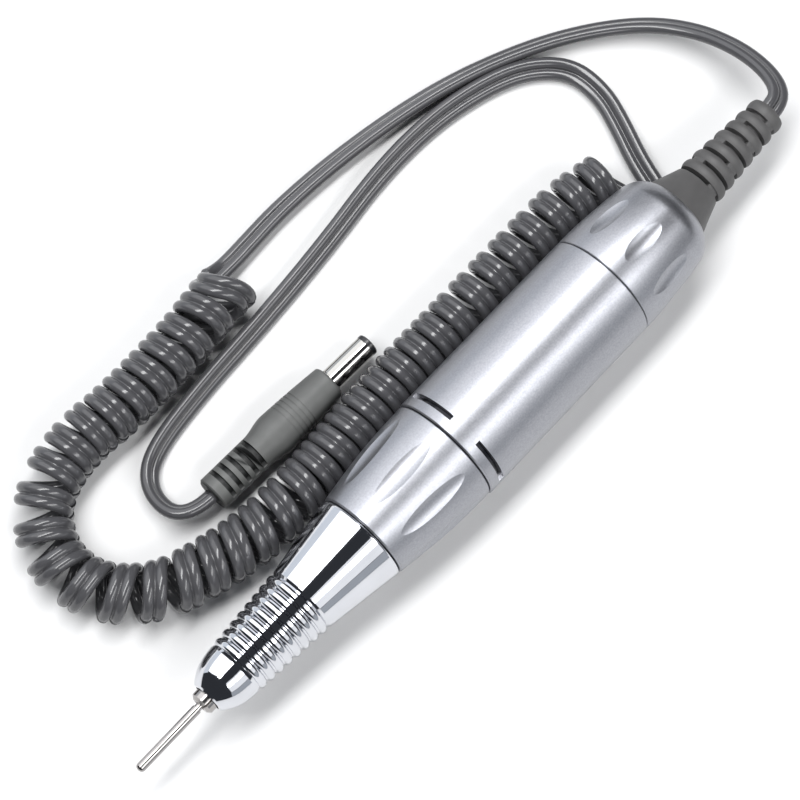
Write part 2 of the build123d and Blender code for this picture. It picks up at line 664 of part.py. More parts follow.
def brush_springs():
    """Coil springs that press the brushes on the commutator."""
    length = HOLDER_TOP_R - 0.4 - BRUSH_TOP_R
    wire_r = 0.16
    path = Helix((length - 2 * wire_r) / 4.0, length - 2 * wire_r, 0.95)
    wire = sweep(Plane(origin=path @ 0, z_dir=path % 0) * Circle(wire_r), path)
    spring = Pos(BRUSH_X, 0, BRUSH_TOP_R + wire_r) * wire
    return group([Rot(X=side) * spring for side in (90, 270)])


TERMINAL_END_X = BELL_END_X + 3.4
TERMINAL_R = 9.0


def terminal(angle_deg, grow=0.0):
    """Tag that comes out of the end bell beside a brush holder."""
    tag = block(MOTOR_END_X - 2.2, TERMINAL_END_X, -1.2 - grow, 1.2 + grow,
                TERMINAL_R - 0.4 - grow, TERMINAL_R + 0.1 + grow)
    return Rot(X=angle_deg) * tag


def motor_terminals():
    return group([terminal(side) for side in (90, 270)])


def motor_screws():
    """Screws that hold the motor to the housing's plate."""
    screw = rod(PLATE_X - 1.3, PLATE_X, 1.75) + rod(PLATE_X - 0.1, MOTOR_X + 1.2, 0.85)
    placed = Pos(0, 0, MOTOR_SCREW_R) * screw
    return group([Rot(X=side) * placed for side in (90, 270)])


def pressure_washer():
    """Ring that the cap's spigot presses on the end bell's lip."""
    return tube(MOTOR_END_X + 0.8, SPIGOT_X, BARREL_BORE_R - 0.1, MOTOR_R - MOTOR_WALL + 0.1)


def noise_capacitor():
    """Ceramic disc across the motor terminals."""
    disc = Pos(TERMINAL_END_X + 1.6, 0, 0) * Rot(Y=90) * Cylinder(3.2, 2.0)
    return fillet(disc.edges(), 0.6)


# ---------------------------------------------------------------- leads inside the cap
WIRE_R = 0.85
CLAMP_X = RELIEF_X - 8.8
CLAMP_LENGTH = 4.5


def lead_wire(side):
    """Insulated wire from a motor tag, round the capacitor, out through the strain relief."""
    tag_y = side * TERMINAL_R
    bore_y = side * 0.9
    points = [(TERMINAL_END_X, tag_y, 0), (TERMINAL_END_X + 4.5, tag_y, 0),
              (CLAMP_X - 3.0, bore_y, 0), (RELIEF_END_X, bore_y, 0)]
    path = FilletPolyline(*points, radius=[2.6, 3.2])
    start = Plane(origin=path @ 0, z_dir=path % 0)
    return sweep(start * Circle(WIRE_R), path)


def cord_clamp():
    """Crimped ring that stops the cord from being pulled out."""
    return tube(CLAMP_X, CLAMP_X + CLAMP_LENGTH, 3.2, 1.8)


# ---------------------------------------------------------------- cord
# Control points of the route; the coil is the fat tube that the curly part fills.
PLUG_TAIL = (-47.5, 32.9, 5.3)
PLUG_HEADING = -1.6            # degrees from +X
FLOOR_Z = CORD_R + 0.1         # centre of a lead that lies on the floor
COIL_START_X = -5.0
HANDPIECE_LEAD = [
    (RELIEF_END_X, 0, AXIS_Z), (108.5, 0, AXIS_Z), (111.7, 3.4, 13.2), (113.5, 9.6, 11.4),
    (113.8, 17.6, 9.0), (111.9, 27.0, 6.4), (106.6, 36.8, 4.2), (97.0, 45.8, 3.1),
    (84.2, 54.0, FLOOR_Z), (67.1, 61.2, FLOOR_Z), (49.0, 65.8, FLOOR_Z), (27.0, 69.2, FLOOR_Z),
    (11.5, 69.4, 3.1), (2.5, 65.9, 4.5), (COIL_START_X, 65.9, 4.5)]
COIL = [
    (COIL_START_X, 62.7, COIL_R), (-24.0, 62.7, COIL_R), (-46.0, 62.2, COIL_R), (-61.5, 63.8, COIL_R),
    (-75.0, 60.0, COIL_R), (-82.8, 49.5, COIL_R), (-82.2, 36.5, COIL_R), (-73.0, 26.0, COIL_R),
    (-60.0, 21.4, COIL_R), (-45.0, 18.6, COIL_R), (-27.0, 18.8, COIL_R), (-6.0, 20.4, COIL_R),
    (20.0, 20.3, COIL_R), (46.0, 20.5, COIL_R), (59.5, 20.2, COIL_R), (69.0, 17.9, COIL_R)]
PLUG_LEAD = [
    (69.0, 17.9, FLOOR_Z), (74.6, 16.544, FLOOR_Z), (81.2, 18.8, FLOOR_Z), (85.0, 25.6, FLOOR_Z),
    (86.2, 36.0, FLOOR_Z), (82.0, 46.8, FLOOR_Z), (72.6, 52.8, FLOOR_Z), (56.0, 56.8, FLOOR_Z),
    (36.0, 57.6, FLOOR_Z), (14.0, 55.4, FLOOR_Z), (-10.0, 53.1, FLOOR_Z), (-30.0, 52.4, FLOOR_Z),
    (-48.4, 50.3, FLOOR_Z), (-55.6, 45.8, 3.0), (-57.2, 37.6, 4.2), (-52.7, 33.045, 5.3), PLUG_TAIL]
CORNER_SHARE = 0.45            # share of the shorter run that a corner's arc uses up


def corner_radii(points):
    """Largest even arcs that the route's runs allow, one for each corner."""
    vectors = [Vector(*point) for point in points]
    radii = []
    for before, corner, after in zip(vectors, vectors[1:], vectors[2:]):
        turn = math.radians((corner - before).get_angle(after - corner))
        shorter = min((corner - before).length, (after - corner).length)
        radii.append(CORNER_SHARE * shorter / math.tan(turn / 2))
    return radii


def tube_along(name, points, radius):
    """Round tube along straight runs joined by tangent arcs, with its volume tested."""
    radii = corner_radii(points)
    path = FilletPolyline(*points, radius=radii)
    start = Plane(origin=path @ 0, z_dir=path % 0)
    solid = sweep(start * Circle(radius), path)
    expected = math.pi * radius ** 2 * path.length
    print(f"{name}: length {path.length:.1f} mm, radii", " ".join(f"{r:.1f}" for r in radii),
          f"volume ratio {solid.volume / expected:.4f}")
    return solid


# ---------------------------------------------------------------- plug
BODY_LENGTH = 37.6
BOOT_R = 4.3
BODY_R = 5.25
BODY_FRONT_R = 4.3
BOOT_END = 14.0
BOOT_GROOVE_WIDTH = 1.2
BOOT_GROOVE_FLOOR_R = 2.9
NECK_END = BODY_LENGTH + 0.5    # the barrel's thinner root shows this far
BARREL_END = 49.1
PLUG_END = 50.4
PLUG_ROOT_X = BODY_LENGTH - 9.0
PLUG_ROOT_R = 2.55
PLUG_INNER_R = 2.35


def plug_placed(shape):
    """The plug is drawn along X from its tail, then laid where it rests."""
    return Pos(*PLUG_TAIL) * Rot(Z=PLUG_HEADING) * shape


def plug_body():
    """Moulded grip: boot with bending grooves, wide grip with fine rings, tapered front."""
    groove_xs = [2.7 + 2.45 * i for i in range(5)]
    ring_xs = [23.2 + 1.25 * i for i in range(5)]
    lip_r = BODY_FRONT_R - 0.7
    edges = [Polyline([(0, 0), (0, BOOT_R - 0.5), (0.5, BOOT_R), (BOOT_END, BOOT_R)]),
             Spline((BOOT_END, BOOT_R), (17.0, 4.75), (20.3, BODY_R), tangents=((1, 0), (1, 0))),
             Spline((20.3, BODY_R), (29.0, 4.85), (BODY_LENGTH - 0.8, BODY_FRONT_R)),
             ThreePointArc((BODY_LENGTH - 0.8, BODY_FRONT_R), (BODY_LENGTH - 0.2, BODY_FRONT_R - 0.25),
                           (BODY_LENGTH, lip_r)),
             Polyline([(BODY_LENGTH, lip_r), (BODY_LENGTH, PLUG_ROOT_R), (PLUG_ROOT_X, PLUG_ROOT_R),
                       (PLUG_ROOT_X, 0), (0, 0)])]
    body = turned_edges(edges)
    for x in groove_xs:
        for side in (0, 180):
            body -= ring_segment(x, x + BOOT_GROOVE_WIDTH, BOOT_R + 1, BOOT_GROOVE_FLOOR_R, side, 150)
    for x in ring_xs:
        body -= tube(x, x + 0.4, BODY_R + 1, 5.0 - 0.06 * (x - ring_xs[0]))
    return plug_placed(body)


def plug_barrel():
    """Nickel-plated outer contact; its thinner root is moulded into the body."""
    exposed = tube(NECK_END, BARREL_END, PLUG_R, PLUG_INNER_R)
    return plug_placed(exposed + tube(PLUG_ROOT_X, NECK_END, PLUG_ROOT_R, PLUG_INNER_R))


def plug_insulator():
    """Black insulator that fills the barrel and forms the tip round the centre hole."""
    start_x = PLUG_ROOT_X + 1.0
    shape = turned([(start_x, 1.5), (start_x, PLUG_INNER_R), (BARREL_END, PLUG_INNER_R),
                    (BARREL_END, PLUG_R), (PLUG_END - 0.3, PLUG_R), (PLUG_END, PLUG_R - 0.3),
                    (PLUG_END, PLUG_BORE_R + 0.15), (PLUG_END - 0.8, PLUG_BORE_R + 0.15),
                    (PLUG_END - 0.8, 1.5)])
    return plug_placed(shape)


def plug_center_contact():
    """Inner tube contact; its hole takes the socket's pin."""
    shape = turned([(PLUG_ROOT_X, 0), (PLUG_ROOT_X, 1.5), (PLUG_END - 0.8, 1.5),
                    (PLUG_END - 0.8, PLUG_BORE_R), (BODY_LENGTH - 1.0, PLUG_BORE_R),
                    (BODY_LENGTH - 1.0, 0)])
    return plug_placed(shape)


# ---------------------------------------------------------------- all pieces
def main():
    os.makedirs(PARTS_DIR, exist_ok=True)
    handpiece = {
        "nose_cone": nose_cone, "twist_collar": twist_collar, "barrel": barrel, "rear_cap": rear_cap,
        "strain_relief": strain_relief, "spindle_housing": spindle_housing, "dust_seal": dust_seal,
        "bearing_spacer": bearing_spacer, "bearing_retaining_ring": bearing_retaining_ring,
        "collar_o_ring": collar_o_ring, "release_ring": release_ring, "release_pins": release_pins,
        "spindle_shaft": spindle_shaft, "spindle_nut": spindle_nut, "chuck_spring": chuck_spring,
        "collet": collet, "drawbar": drawbar, "cross_pin": cross_pin, "thrust_ring": thrust_ring,
        "shank_pin": shank_pin, "spindle_drive_dog": spindle_drive_dog,
        "motor_drive_dog": motor_drive_dog, "motor_shaft": motor_shaft, "motor_can": motor_can,
        "motor_sleeve": motor_sleeve, "front_motor_bush": front_motor_bush,
        "rear_motor_bush": rear_motor_bush, "motor_magnets": motor_magnets,
        "armature_core": armature_core, "armature_windings": armature_windings,
        "commutator": commutator, "motor_end_bell": motor_end_bell, "brush_holders": brush_holders,
        "carbon_brushes": carbon_brushes, "brush_springs": brush_springs,
        "motor_terminals": motor_terminals, "motor_screws": motor_screws,
        "pressure_washer": pressure_washer, "noise_capacitor": noise_capacitor,
        "cord_clamp": cord_clamp}
    for name, make in handpiece.items():
        write(name, lifted(make()))
    for end, x in (("front", FRONT_BEARING_X), ("rear", REAR_BEARING_X)):
        write(f"{end}_bearing_outer_race", lifted(bearing_outer_race(x)))
        write(f"{end}_bearing_inner_race", lifted(bearing_inner_race(x)))
        write(f"{end}_bearing_balls", lifted(bearing_balls(x)))
        write(f"{end}_bearing_cage", lifted(bearing_cage(x)))
    write("positive_lead_wire", lifted(lead_wire(1)))
    write("negative_lead_wire", lifted(lead_wire(-1)))
    write("handpiece_lead", tube_along("handpiece lead", HANDPIECE_LEAD, CORD_R))
    write("coiled_cord", tube_along("coiled cord", COIL, COIL_R))
    write("plug_lead", tube_along("plug lead", PLUG_LEAD, CORD_R))
    write("plug_body", plug_body())
    write("plug_barrel", plug_barrel())
    write("plug_insulator", plug_insulator())
    write("plug_center_contact", plug_center_contact())


main()
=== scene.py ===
"""Electric nail drill: satin handpiece with a chrome nose, curly twin cord and DC plug.

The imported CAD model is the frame. This script gives its nodes their materials, draws the cord
that replaces the plain CAD tubes, and sets up the studio. Lengths are in metres.
"""
import math

import bpy
import numpy as np
from mathutils import Matrix, Vector


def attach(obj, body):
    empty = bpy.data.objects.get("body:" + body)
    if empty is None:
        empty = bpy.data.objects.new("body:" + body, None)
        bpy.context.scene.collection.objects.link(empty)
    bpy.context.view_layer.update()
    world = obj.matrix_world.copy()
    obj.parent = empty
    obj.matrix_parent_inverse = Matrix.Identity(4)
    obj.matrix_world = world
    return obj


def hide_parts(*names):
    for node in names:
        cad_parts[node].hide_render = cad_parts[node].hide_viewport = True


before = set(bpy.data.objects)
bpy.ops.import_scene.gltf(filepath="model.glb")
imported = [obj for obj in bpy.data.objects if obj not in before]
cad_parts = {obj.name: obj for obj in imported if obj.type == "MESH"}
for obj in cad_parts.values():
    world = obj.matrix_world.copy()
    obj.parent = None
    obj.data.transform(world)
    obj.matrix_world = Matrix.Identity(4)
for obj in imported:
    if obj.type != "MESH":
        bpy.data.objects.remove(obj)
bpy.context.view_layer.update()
scene = bpy.context.scene


# ---------------------------------------------------------------- camera
CAMERA_AZIMUTH = -47.2       # degrees; 0 looks along +Y
CAMERA_ELEVATION = 73.26
CAMERA_DISTANCE = 0.6967
CAMERA_TARGET = Vector((-0.0042, 0.0153, 0.0140))
CAMERA_LENS = 139.5          # on a 36 mm sensor


def add_camera():
    """Long lens, looking steeply down on the object."""
    azimuth = math.radians(CAMERA_AZIMUTH)
    elevation = math.radians(CAMERA_ELEVATION)
    level = math.cos(elevation)
    back = Vector((math.sin(azimuth) * level, -math.cos(azimuth) * level, math.sin(elevation)))
    right = Vector((math.cos(azimuth), math.sin(azimuth), 0))
    up = back.cross(right)
    camera = bpy.data.objects.new("camera", bpy.data.cameras.new("camera"))
    scene.collection.objects.link(camera)
    turn = Matrix((right, up, back)).transposed().to_4x4()
    camera.matrix_world = Matrix.Translation(CAMERA_TARGET + back * CAMERA_DISTANCE) @ turn
    camera.data.lens = CAMERA_LENS
    camera.data.sensor_width = 36
    camera.data.clip_start = 0.01
    scene.camera = camera


# ---------------------------------------------------------------- studio
FLOOR_SIZE = 3.0
FLOOR_Z = -0.0001            # just below the object, which stands on z = 0
STUDIO_CENTRE = Vector((0, 0.02, 0.01))
WORLD_COLOUR = (0.04, 0.043, 0.05, 1)


def add_floor(paper):
    """A plain sheet of paper under the object."""
    half = FLOOR_SIZE / 2
    mesh = bpy.data.meshes.new("floor")
    mesh.from_pydata([(-half, -half, 0), (half, -half, 0), (half, half, 0), (-half, half, 0)],
                     [], [(0, 1, 2, 3)])
    floor = bpy.data.objects.new("floor", mesh)
    scene.collection.objects.link(floor)
    floor.location.z = FLOOR_Z
    mesh.materials.append(paper)


# The lights form an arch round X. Each has its angle from straight above towards +Y, its spread,
# both in degrees, its radiance and its colour. The dark gap round -11 degrees, where the camera
# looks in, draws the dark line down the metal.
WHITE = (1, 1, 1)
SOFT_WHITE = (0.97, 0.98, 1)
COOL_WHITE = (0.88, 0.93, 1)
ARCH = [
    ("key_strip", 12, 13, 12.0, WHITE),
    ("key_softbox", 36, 64, 2.0, SOFT_WHITE),
    ("far_softbox", 80, 24, 1.0, COOL_WHITE),
    ("fill_strip", -40, 13, 6.0, WHITE),
    ("fill_softbox", -48, 42, 1.2, SOFT_WHITE),
    ("low_softbox", -80, 20, 0.5, COOL_WHITE),
]
ARCH_R = 0.9
ARCH_LENGTH = 1.1


def add_softbox(name, angle, spread, radiance, tint):
    """Area light of the arch, facing the object."""
    tilt = math.radians(angle)
    away = Vector((0, math.sin(tilt), math.cos(tilt)))
    across = Vector((0, math.cos(tilt), -math.sin(tilt)))
    light = bpy.data.lights.new(name, "AREA")
    light.shape = "RECTANGLE"
    light.size = ARCH_LENGTH
    light.size_y = 2 * ARCH_R * math.tan(math.radians(spread / 2))
    light.energy = radiance * math.pi * light.size * light.size_y
    light.color = tint
    lamp = bpy.data.objects.new(name, light)
    scene.collection.objects.link(lamp)
    turn = Matrix((Vector((1, 0, 0)), across, away)).transposed().to_4x4()
    lamp.matrix_world = Matrix.Translation(STUDIO_CENTRE + away * ARCH_R) @ turn
    lamp.visible_camera = False


def add_lights():
    """The arch of softboxes and a dim world."""
    for softbox in ARCH:
        add_softbox(*softbox)
    world = bpy.data.worlds.new("studio")
    world.use_nodes = True
    world.node_tree.nodes["Background"].inputs["Color"].default_value = WORLD_COLOUR
    scene.world = world
    scene.view_settings.view_transform = "Standard"


# ---------------------------------------------------------------- materials
NOISE_LOW = 0.3              # most of a noise texture's values lie between these two
NOISE_HIGH = 0.7
METAL_UNEVENNESS = 0.08      # share by which the roughness of a metal varies
POLYMER_UNEVENNESS = 0.12
POLISH_SCALE = 400           # patches per metre of more and less gloss on a polymer
TINT_SCALE = 220             # and of lighter and darker colour


def new_material(name, colour, roughness, metallic=0.0):
    """Principled material of one even colour, with its node tree and its shader."""
    material = bpy.data.materials.new(name)
    material.use_nodes = True
    tree = material.node_tree
    shader = tree.nodes["Principled BSDF"]
    shader.inputs["Base Color"].default_value = (*colour, 1)
    shader.inputs["Roughness"].default_value = roughness
    shader.inputs["Metallic"].default_value = metallic
    return material, tree, shader


def noise(tree, scale, detail=3.0, stretch=(1, 1, 1)):
    """Noise in the object's own coordinates; scale is in features per metre."""
    place = tree.nodes.new("ShaderNodeTexCoord")
    mapping = tree.nodes.new("ShaderNodeMapping")
    mapping.inputs["Scale"].default_value = [scale * s for s in stretch]
    texture = tree.nodes.new("ShaderNodeTexNoise")
    texture.inputs["Scale"].default_value = 1.0
    texture.inputs["Detail"].default_value = detail
    tree.links.new(place.outputs["Object"], mapping.inputs["Vector"])
    tree.links.new(mapping.outputs["Vector"], texture.inputs["Vector"])
    return texture.outputs["Fac"]


def vary_roughness(tree, shader, signal, roughness, unevenness):
    """Roughness that follows the signal, up and down by this share."""
    spread = tree.nodes.new("ShaderNodeMapRange")
    spread.inputs["From Min"].default_value = NOISE_LOW
    spread.inputs["From Max"].default_value = NOISE_HIGH
    spread.inputs["To Min"].default_value = roughness * (1 - unevenness)
    spread.inputs["To Max"].default_value = roughness * (1 + unevenness)
    tree.links.new(signal, spread.inputs["Value"])
    tree.links.new(spread.outputs["Result"], shader.inputs["Roughness"])


def vary_colour(tree, shader, signal, first, second):
    """Base colour that follows the signal from the first colour to the second."""
    ramp = tree.nodes.new("ShaderNodeValToRGB")
    ramp.color_ramp.elements[0].position = NOISE_LOW
    ramp.color_ramp.elements[0].color = (*first, 1)
    ramp.color_ramp.elements[1].position = NOISE_HIGH
    ramp.color_ramp.elements[1].color = (*second, 1)
    tree.links.new(signal, ramp.inputs["Fac"])
    tree.links.new(ramp.outputs["Color"], shader.inputs["Base Color"])


def add_bump(tree, shader, signal, depth):
    """Bump that follows the signal; depth is in metres."""
    bump = tree.nodes.new("ShaderNodeBump")
    bump.inputs["Distance"].default_value = depth
    tree.links.new(signal, bump.inputs["Height"])
    tree.links.new(bump.outputs["Normal"], shader.inputs["Normal"])


def shade(colour, factor):
    """The same colour, lighter or darker."""
    return tuple(c * factor for c in colour)


def metal(name, colour, roughness, grain_scale, grain_depth, stretch=(1, 1, 1), mottle=0.03):
    """Bare or plated metal; an X stretch above 1 makes turning marks round the handpiece."""
    material, tree, shader = new_material(name, colour, roughness, 1.0)
    smears = noise(tree, grain_scale / 3)
    vary_roughness(tree, shader, smears, roughness, METAL_UNEVENNESS)
    patches = noise(tree, grain_scale / 2, 2.0, stretch)
    vary_colour(tree, shader, patches, shade(colour, 1 - mottle), shade(colour, 1 + mottle))
    grain = noise(tree, grain_scale, 2.0, stretch)
    add_bump(tree, shader, grain, grain_depth)
    return material


def polymer(name, colour, roughness, grain_scale, grain_depth, spread=0.08):
    """Moulded rubber or plastic with a fine skin and a slight unevenness of colour."""
    material, tree, shader = new_material(name, colour, roughness)
    polish = noise(tree, POLISH_SCALE)
    vary_roughness(tree, shader, polish, roughness, POLYMER_UNEVENNESS)
    tint = noise(tree, TINT_SCALE)
    vary_colour(tree, shader, tint, shade(colour, 1 - spread), shade(colour, 1 + spread))
    grain = noise(tree, grain_scale)
    add_bump(tree, shader, grain, grain_depth)
    return material


def slot_of(material):
    """The record's slot a material is for: its name without Blender's number."""
    return material.name.split(".")[0]


BOOT_LENGTH = 0.0140
BOOT_GROOVE_R = 0.0038       # the floors of the boot's grooves lie inside this radius
GROOVE_EDGE = 0.0004         # over which the shade fades out
# near-black colour painted into the boot's grooves as their shade
PAINTED_GROOVE_SHADE = (0.008, 0.009, 0.009, 1)
PLUG_TAIL = (-0.0475, 0.0329, 0.0053)
PLUG_HEADING = -1.6          # degrees from +X
MIX_A = 6                    # numbers of a Mix node's colour sockets
MIX_B = 7
MIX_RESULT = 2


def plug_coordinates(tree):
    """Distance along the plug from its tail, and distance from the plug's axis."""
    place = tree.nodes.new("ShaderNodeTexCoord")
    along = tree.nodes.new("ShaderNodeMapping")
    along.vector_type = "TEXTURE"
    along.inputs["Location"].default_value = PLUG_TAIL
    along.inputs["Rotation"].default_value[2] = math.radians(PLUG_HEADING)
    split = tree.nodes.new("ShaderNodeSeparateXYZ")
    radial = tree.nodes.new("ShaderNodeCombineXYZ")
    distance = tree.nodes.new("ShaderNodeVectorMath")
    distance.operation = "LENGTH"
    tree.links.new(place.outputs["Object"], along.inputs["Vector"])
    tree.links.new(along.outputs["Vector"], split.inputs["Vector"])
    tree.links.new(split.outputs["Y"], radial.inputs["Y"])
    tree.links.new(split.outputs["Z"], radial.inputs["Z"])
    tree.links.new(radial.outputs["Vector"], distance.inputs[0])
    return split.outputs["X"], distance.outputs["Value"]


def paint_boot_groove_shade(material):
    """Painted shade in the grooves of the plug's boot, by the distance from the plug's axis."""
    tree = material.node_tree
    shader = tree.nodes["Principled BSDF"]
    skin_colour = shader.inputs["Base Color"].links[0].from_socket
    along, from_axis = plug_coordinates(tree)
    # mask of the painted shade: full inside the grooves' floor radius, fading out over the edge
    groove_shade_mask = tree.nodes.new("ShaderNodeMapRange")
    groove_shade_mask.inputs["From Min"].default_value = BOOT_GROOVE_R + GROOVE_EDGE
    groove_shade_mask.inputs["From Max"].default_value = BOOT_GROOVE_R
    on_boot = tree.nodes.new("ShaderNodeMath")
    on_boot.operation = "LESS_THAN"
    on_boot.inputs[1].default_value = BOOT_LENGTH
    both = tree.nodes.new("ShaderNodeMath")
    both.operation = "MULTIPLY"
    mix = tree.nodes.new("ShaderNodeMix")
    mix.data_type = "RGBA"
    # painted shade: the grooves get a near-black colour in place of their shadow
    mix.inputs[MIX_B].default_value = PAINTED_GROOVE_SHADE
    tree.links.new(from_axis, groove_shade_mask.inputs["Value"])
    tree.links.new(along, on_boot.inputs[0])
    tree.links.new(groove_shade_mask.outputs["Result"], both.inputs[0])
    tree.links.new(on_boot.outputs["Value"], both.inputs[1])
    tree.links.new(both.outputs["Value"], mix.inputs["Factor"])
    tree.links.new(skin_colour, mix.inputs[MIX_A])
    tree.links.new(mix.outputs[MIX_RESULT], shader.inputs["Base Color"])


TURNED = (40, 1, 1)          # stretch of a surface with turning marks


def build_materials():
    """One material for each slot of the record: name, colour, roughness, grain and its depth."""
    made = [
        metal("chrome", (0.62, 0.63, 0.66), 0.05, 350, 0.0000004),
        metal("satin_aluminium", (0.33, 0.335, 0.36), 0.38, 4800, 0.000014, mottle=0.09),
        metal("steel", (0.36, 0.345, 0.335), 0.16, 120, 0.000004, TURNED),
        metal("sleeve_steel", (0.03, 0.03, 0.034), 0.15, 120, 0.000002, TURNED),
        metal("bronze", (0.55, 0.36, 0.18), 0.35, 2500, 0.000006),
        metal("brass", (0.72, 0.52, 0.24), 0.28, 2500, 0.000005),
        metal("copper", (0.80, 0.42, 0.25), 0.25, 1800, 0.000008),
        metal("laminations", (0.30, 0.30, 0.31), 0.40, 220, 0.00001, TURNED),
        metal("nickel", (0.45, 0.44, 0.42), 0.10, 350, 0.000001),
        polymer("magnet", (0.05, 0.05, 0.055), 0.50, 2500, 0.00001),
        polymer("carbon", (0.02, 0.02, 0.02), 0.60, 3000, 0.00001),
        polymer("motor_plastic", (0.03, 0.03, 0.03), 0.45, 2500, 0.000008),
        polymer("sleeve_plastic", (0.55, 0.53, 0.45), 0.40, 1500, 0.000004),
        polymer("ceramic", (0.55, 0.25, 0.05), 0.30, 1500, 0.000006),
        polymer("wire_red", (0.45, 0.02, 0.02), 0.35, 2500, 0.000004),
        polymer("wire_black", (0.015, 0.015, 0.015), 0.35, 2500, 0.000004),
        polymer("relief_rubber", (0.060, 0.059, 0.059), 0.55, 3800, 0.000010),
        polymer("seal_rubber", (0.02, 0.02, 0.02), 0.60, 2500, 0.000008),
        polymer("cord_pvc", (0.056, 0.056, 0.060), 0.16, 900, 0.000001, 0.03),
        polymer("plug_rubber", (0.080, 0.082, 0.080), 0.55, 3800, 0.000012),
        polymer("black_plastic", (0.012, 0.012, 0.014), 0.30, 2500, 0.000004),
    ]
    return {slot_of(material): material for material in made}


def floor_paper():
    """Plain matt paper, which the lights bring up to white."""
    material, tree, shader = new_material("floor_paper", (0.66, 0.66, 0.66), 0.9)
    vary_colour(tree, shader, noise(tree, 30), (0.655, 0.655, 0.655), (0.665, 0.665, 0.665))
    shader.inputs["Specular IOR Level"].default_value = 0.1
    return material


def dress_frame(materials):
    """Every CAD node gets the material of its slot."""
    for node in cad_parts.values():
        for slot in node.material_slots:
            slot.material = materials[slot_of(slot.material)]


# ---------------------------------------------------------------- cord: route
# Control points, in the places of the CAD tubes: the lead at the handpiece, the axis of the
# curly part, and the lead at the plug.
LEAD_Z = 0.00245             # centre of a lead that lies tilted on the floor
COIL_Z = 0.0071              # axis of the curl, whose turns rest on the floor
HANDPIECE_LEAD = [
    (0.10435, 0, 0.014), (0.1085, 0, 0.014), (0.1117, 0.0034, 0.0132), (0.1135, 0.0096, 0.0114),
    (0.1138, 0.0176, 0.0090), (0.1119, 0.0270, 0.0064), (0.1066, 0.0368, 0.0042),
    (0.0970, 0.0458, 0.0031), (0.0842, 0.0540, LEAD_Z), (0.0671, 0.0612, LEAD_Z),
    (0.0490, 0.0658, LEAD_Z), (0.0290, 0.0688, LEAD_Z), (0.0130, 0.0698, LEAD_Z),
    (0.0030, 0.0694, LEAD_Z), (-0.0050, 0.0690, 0.0028), (-0.0100, 0.0692, 0.0040)]
COIL = [
    (-0.0050, 0.0640, 0.0073), (-0.0140, 0.0640, 0.0073), (-0.0240, 0.0627, COIL_Z),
    (-0.0460, 0.0622, COIL_Z), (-0.0615, 0.0638, COIL_Z), (-0.0750, 0.0600, COIL_Z),
    (-0.0828, 0.0495, COIL_Z), (-0.0822, 0.0365, COIL_Z), (-0.0730, 0.0260, COIL_Z),
    (-0.0600, 0.0214, COIL_Z), (-0.0450, 0.0186, COIL_Z), (-0.0270, 0.0188, COIL_Z),
    (-0.0060, 0.0204, COIL_Z), (0.0200, 0.0203, COIL_Z), (0.0460, 0.0205, COIL_Z),
    (0.0595, 0.0202, COIL_Z), (0.0690, 0.0179, COIL_Z)]
PLUG_LEAD = [
    (0.0690, 0.0155, LEAD_Z), (0.0710, 0.0095, LEAD_Z), (0.0762, 0.0070, LEAD_Z),
    (0.0788, 0.0162, LEAD_Z), (0.0830, 0.0256, LEAD_Z), (0.0860, 0.0340, LEAD_Z),
    (0.0858, 0.0435, LEAD_Z), (0.0790, 0.0510, LEAD_Z), (0.0690, 0.0555, LEAD_Z),
    (0.0540, 0.0586, LEAD_Z), (0.0360, 0.0588, LEAD_Z),
    (0.0140, 0.0558, LEAD_Z), (-0.0100, 0.0538, LEAD_Z), (-0.0300, 0.0528, LEAD_Z),
    (-0.0485, 0.0506, LEAD_Z), (-0.0556, 0.0458, 0.0030), (-0.0572, 0.0376, 0.0042),
    (-0.0527, 0.033045, 0.0053), (-0.0475, 0.0329, 0.0053)]

CONDUCTOR_R = 0.00139        # round sheath over one conductor
CONDUCTOR_OFFSET = 0.00136   # of its centre from the cord's centre
HELIX_R = 0.0057             # from the coil's axis to the cord's centre
LAST_TURN_SHARE = 0.3        # of a turn, over which the curl closes in to meet the lead
LAST_TURN_NARROWING = 0.75   # of the radius at the curl's last point
TURN_POINTS = 20             # control points in one turn of the helix
SPLINE_STEPS = 12            # points read from the spline for each control point
RING_STEP = 0.0010           # between the rings of the cord's mesh
# Turn numbers, and how far along the coil's axis the tops of those turns lie. The loops start
# loose and fan out in the bend.
TURN_TOPS = [(0.72, 0.0030), (1, 0.0072), (2, 0.0132), (3, 0.0202), (10, 0.0627), (13, 0.0862),
             (17, 0.1173), (20, 0.1362), (22, 0.1500), (26, 0.1731), (31, 0.2024), (36, 0.2362),
             (38, 0.2492), (38.5, 0.2519)]
# Turn numbers, and the degrees by which those turns lean over, away from square to the axis.
TURN_LEANS = [(1, -40), (2, -18), (8, -14), (12, -8), (15, 0), (19, 4), (24, -10), (38.5, -12)]


def smooth_line(points):
    """Points along the NURBS spline that has these control points."""
    curve = bpy.data.curves.new("route", "CURVE")
    curve.dimensions = "3D"
    curve.resolution_u = SPLINE_STEPS
    spline = curve.splines.new("NURBS")
    spline.points.add(len(points) - 1)
    for place, point in zip(spline.points, points):
        place.co = (*point, 1)
    spline.order_u = 3
    spline.use_endpoint_u = True
    spline.resolution_u = SPLINE_STEPS
    carrier = bpy.data.objects.new("route", curve)
    mesh = bpy.data.meshes.new_from_object(carrier)
    line = np.array([vertex.co for vertex in mesh.vertices])
    bpy.data.meshes.remove(mesh)
    bpy.data.objects.remove(carrier)
    bpy.data.curves.remove(curve)
    return line


def unit(vectors):
    """The vectors scaled to a length of 1."""
    return vectors / np.linalg.norm(vectors, axis=-1, keepdims=True)


def distances(line):
    """Length of the line up to each of its points."""
    steps = np.linalg.norm(np.diff(line, axis=0), axis=1)
    return np.concatenate([[0], np.cumsum(steps)])


def at(line, far, where):
    """The line's points at the distances in where; far holds the distances of its own points."""
    return np.stack([np.interp(where, far, line[:, k]) for k in range(3)], axis=-1)


